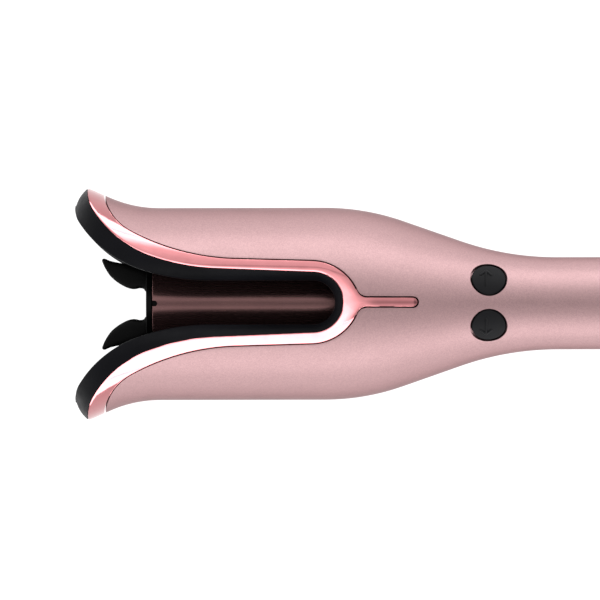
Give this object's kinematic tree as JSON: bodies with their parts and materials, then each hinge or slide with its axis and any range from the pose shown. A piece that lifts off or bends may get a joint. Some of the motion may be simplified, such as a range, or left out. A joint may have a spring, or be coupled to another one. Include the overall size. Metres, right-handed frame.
{
  "type": "automatic hair curler",
  "caption": "Hand-held curling tool: a heated barrel turns inside a tulip-shaped slotted head on a slim grip with push buttons and a swivelling cord gland.",
  "frame": {"origin": "on the tool's axis, at the mouth of the cord gland", "axes": "+X along the tool from the cord gland to the petal tips, +Z out of the face with the buttons, +Y across the head from one petal to the other"},
  "size_m": [0.3, 0.087, 0.0718],
  "materials": {
    "casing": "satin metallic pink paint",
    "trim": "polished rose-gold plating",
    "liner": "matt heat-resistant plastic",
    "end_cap": "matt",
    "gland": "matt",
    "barrel": "satin ceramic coating",
    "hook_cap": "matt heat-resistant plastic",
    "button": "satin",
    "window": "polished smoked lens",
    "inner_plastic": "moulded",
    "pale_plastic": "moulded acetal",
    "steel": "machined",
    "brass": "machined",
    "copper": "polished",
    "carbon": "sintered",
    "aluminium": "extruded",
    "ceramic": "fired ceramic",
    "board": "green solder mask",
    "electronics": "moulded packages",
    "wire": "insulated wire",
    "damper": "matt",
    "foot": "matt"
  },
  "bodies": {
    "housing": {"front_shell": "casing", "rear_shell": "casing", "front_trim": "trim", "rear_trim": "trim", "front_liner": "liner", "rear_liner": "liner", "end_cap": "end_cap", "display_window": "window", "chamber_bulkhead": "inner_plastic", "bearing_carrier": "inner_plastic", "brush_holder": "inner_plastic", "gearbox_base": "inner_plastic", "gearbox_cover": "inner_plastic", "motor_end_bell": "inner_plastic", "swivel_socket": "inner_plastic", "ring_gear": "pale_plastic", "motor_can": "steel", "motor_magnets": "steel", "brush_springs": "steel", "shell_screws": "steel", "chassis": "steel", "front_bush": "brass", "output_bush": "brass", "carbon_brushes": "carbon", "power_board": "board", "panel_board": "board", "arrow_boards": "board", "power_parts": "electronics", "panel_switches": "electronics", "arrow_switches": "electronics", "display_module": "electronics", "brush_leads": "wire", "motor_leads": "wire", "mains_leads": "wire", "switch_ribbon": "wire", "motor_dampers": "damper", "rest_feet": "foot"},
    "barrel": {"barrel_tube": "barrel", "hook_cap": "hook_cap", "cap_screw": "steel", "heater_upper": "aluminium", "heater_lower": "aluminium", "heating_element": "ceramic", "thermal_fuse": "ceramic", "barrel_hub": "inner_plastic", "slip_rings": "copper", "planet_carrier": "steel", "planet_pins": "steel"},
    "sun": {"sun_gear": "brass", "motor_shaft": "steel", "motor_armature": "steel"},
    "planet_a": {"planet_gear_a": "pale_plastic"},
    "planet_b": {"planet_gear_b": "pale_plastic"},
    "planet_c": {"planet_gear_c": "pale_plastic"},
    "left": {"left_button": "button"},
    "right": {"right_button": "button"},
    "power": {"power_button": "button"},
    "plus": {"plus_button": "button"},
    "minus": {"minus_button": "button"},
    "gland": {"cord_gland": "gland"}
  },
  "joints": [
    {"name": "barrel_spin", "type": "hinge", "parent": "housing", "child": "barrel", "pos_m": [0.2, 0, 0], "axis": [1, 0, 0], "continuous": true},
    {"name": "sun_spin", "type": "hinge", "parent": "housing", "child": "sun", "pos_m": [0.1, 0, 0], "axis": [1, 0, 0], "continuous": true},
    {"name": "planet_a_spin", "type": "hinge", "parent": "barrel", "child": "planet_a", "pos_m": [0.122, 0.00675, 0], "axis": [1, 0, 0], "continuous": true},
    {"name": "planet_b_spin", "type": "hinge", "parent": "barrel", "child": "planet_b", "pos_m": [0.122, -0.00337, 0.00585], "axis": [1, 0, 0], "continuous": true},
    {"name": "planet_c_spin", "type": "hinge", "parent": "barrel", "child": "planet_c", "pos_m": [0.122, -0.00337, -0.00585], "axis": [1, 0, 0], "continuous": true},
    {"name": "left_press", "type": "slide", "parent": "housing", "child": "left", "axis": [0, -0.4352, -0.9003], "range_m": [0, 0.0005], "stiffness_N_per_m": 400, "springref_m": -0.0004},
    {"name": "right_press", "type": "slide", "parent": "housing", "child": "right", "axis": [0, 0.4352, -0.9003], "range_m": [0, 0.0005], "stiffness_N_per_m": 400, "springref_m": -0.0004},
    {"name": "power_press", "type": "slide", "parent": "housing", "child": "power", "axis": [0, 0, -1], "range_m": [0, 0.0005], "stiffness_N_per_m": 400, "springref_m": -0.0004},
    {"name": "plus_press", "type": "slide", "parent": "housing", "child": "plus", "axis": [0, 0, -1], "range_m": [0, 0.0005], "stiffness_N_per_m": 400, "springref_m": -0.0004},
    {"name": "minus_press", "type": "slide", "parent": "housing", "child": "minus", "axis": [0, 0, -1], "range_m": [0, 0.0005], "stiffness_N_per_m": 400, "springref_m": -0.0004},
    {"name": "gland_swivel", "type": "hinge", "parent": "housing", "child": "gland", "pos_m": [0.01, 0, 0], "axis": [1, 0, 0], "continuous": true}
  ],
  "couplings": [
    {"joint": "sun_spin", "follows": "barrel_spin", "ratio": 4.5},
    {"joint": "planet_a_spin", "follows": "barrel_spin", "ratio": -2.8},
    {"joint": "planet_b_spin", "follows": "barrel_spin", "ratio": -2.8},
    {"joint": "planet_c_spin", "follows": "barrel_spin", "ratio": -2.8}
  ]
}
